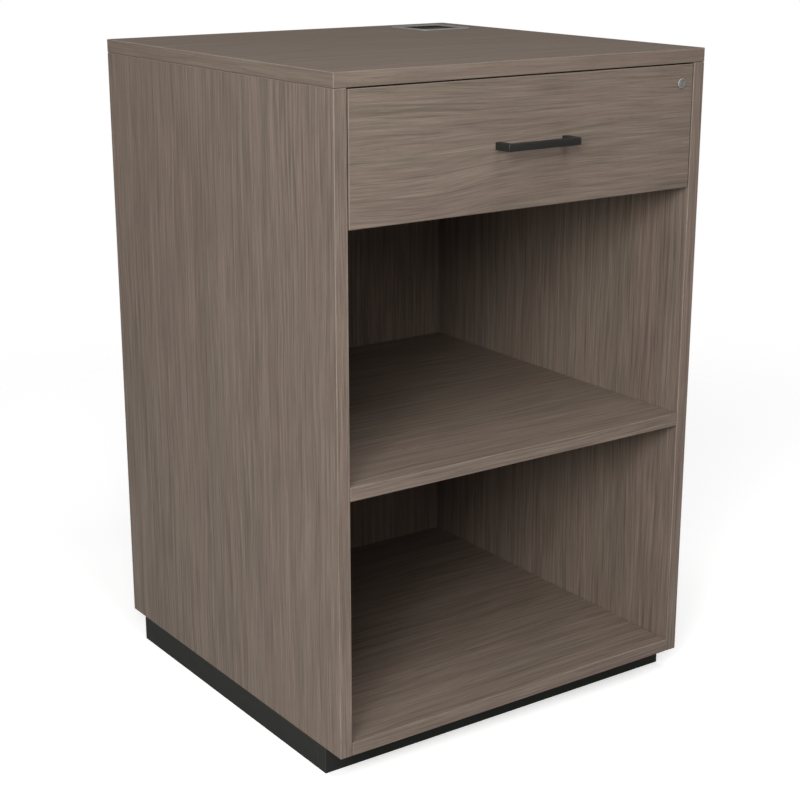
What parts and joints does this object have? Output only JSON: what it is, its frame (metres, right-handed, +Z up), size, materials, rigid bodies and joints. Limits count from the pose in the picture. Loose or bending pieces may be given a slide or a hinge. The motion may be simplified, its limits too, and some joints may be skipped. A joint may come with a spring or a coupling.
{
  "type": "presentation lectern",
  "caption": "Square presentation lectern: an open cabinet with a fixed shelf on a recessed plinth, a locking drawer with a bar handle under the top, and a lidded cable grommet.",
  "frame": {"origin": "on the floor, midway across the width, and midway between the rear edge and the foremost face of the drawer handle", "axes": "+Z up; the front, with the drawer, faces -Y; +X is the right side as seen from the front"},
  "size_m": [0.6096, 0.6386, 0.9421],
  "materials": {
    "woodgrain_laminate": "grey-brown straight-grained wood laminate, satin",
    "charcoal_laminate": "plain charcoal laminate, matt",
    "grey_melamine": "light grey melamine, matt",
    "grey_hardboard": "grey faced hardboard",
    "black_metal": "black powder coat, fine satin",
    "black_plastic": "moulded black, fine texture",
    "satin_nickel": "satin nickel plate",
    "slide_steel": "bright zinc plate",
    "zinc_fastener": "zinc die casting and zinc-plated steel"
  },
  "bodies": {
    "cabinet": {"top_panel": "woodgrain_laminate", "side_panel_left": "woodgrain_laminate", "side_panel_right": "woodgrain_laminate", "back_panel": "woodgrain_laminate", "bottom_panel": "woodgrain_laminate", "fixed_shelf": "woodgrain_laminate", "plinth_front": "charcoal_laminate", "plinth_rear": "charcoal_laminate", "plinth_left": "charcoal_laminate", "plinth_right": "charcoal_laminate", "cam_shelf_left_front": "zinc_fastener", "cam_shelf_left_rear": "zinc_fastener", "cam_shelf_right_front": "zinc_fastener", "cam_shelf_right_rear": "zinc_fastener", "cam_bottom_left_front": "zinc_fastener", "cam_bottom_left_rear": "zinc_fastener", "cam_bottom_right_front": "zinc_fastener", "cam_bottom_right_rear": "zinc_fastener", "cam_top_left_front": "zinc_fastener", "cam_top_left_rear": "zinc_fastener", "cam_top_right_front": "zinc_fastener", "cam_top_right_rear": "zinc_fastener", "bolt_shelf_left_front": "zinc_fastener", "bolt_shelf_left_rear": "zinc_fastener", "bolt_shelf_right_front": "zinc_fastener", "bolt_shelf_right_rear": "zinc_fastener", "bolt_bottom_left_front": "zinc_fastener", "bolt_bottom_left_rear": "zinc_fastener", "bolt_bottom_right_front": "zinc_fastener", "bolt_bottom_right_rear": "zinc_fastener", "bolt_top_left_front": "zinc_fastener", "bolt_top_left_rear": "zinc_fastener", "bolt_top_right_front": "zinc_fastener", "bolt_top_right_rear": "zinc_fastener", "slide_outer_left": "slide_steel", "slide_outer_right": "slide_steel", "lock_strike": "zinc_fastener", "strike_screw": "zinc_fastener", "grommet_frame": "black_plastic"},
    "drawer": {"drawer_front": "woodgrain_laminate", "drawer_side_left": "grey_melamine", "drawer_side_right": "grey_melamine", "drawer_inner_front": "grey_melamine", "drawer_back": "grey_melamine", "drawer_base": "grey_hardboard", "drawer_handle": "black_metal", "handle_screw_left": "zinc_fastener", "handle_screw_right": "zinc_fastener", "front_screw_left": "zinc_fastener", "front_screw_right": "zinc_fastener", "lock_barrel": "satin_nickel", "lock_nut": "zinc_fastener", "slide_inner_left": "slide_steel", "slide_inner_right": "slide_steel"},
    "slide_carriage_left": {"slide_middle_left": "slide_steel"},
    "slide_carriage_right": {"slide_middle_right": "slide_steel"},
    "lock_core": {"lock_plug": "satin_nickel", "lock_cam": "zinc_fastener", "lock_cam_screw": "zinc_fastener"},
    "cable_lid": {"grommet_lid": "black_plastic"}
  },
  "joints": [
    {"name": "drawer_slide", "type": "slide", "parent": "cabinet", "child": "drawer", "axis": [0, -1, 0], "range_m": [0, 0.48]},
    {"name": "left_carriage_travel", "type": "slide", "parent": "cabinet", "child": "slide_carriage_left", "axis": [0, -1, 0], "range_m": [0, 0.24]},
    {"name": "right_carriage_travel", "type": "slide", "parent": "cabinet", "child": "slide_carriage_right", "axis": [0, -1, 0], "range_m": [0, 0.24]},
    {"name": "lock_turn", "type": "hinge", "parent": "drawer", "child": "lock_core", "pos_m": [0.26275, -0.2903, 0.89355], "axis": [0, 1, 0], "range_deg": [0, 90]},
    {"name": "lid_hinge", "type": "hinge", "parent": "cabinet", "child": "cable_lid", "pos_m": [0.2118, 0.1872, 0.9371], "axis": [1, 0, 0], "range_deg": [0, 85]}
  ],
  "couplings": [
    {"joint": "left_carriage_travel", "follows": "drawer_slide", "ratio": 0.5},
    {"joint": "right_carriage_travel", "follows": "drawer_slide", "ratio": 0.5}
  ]
}
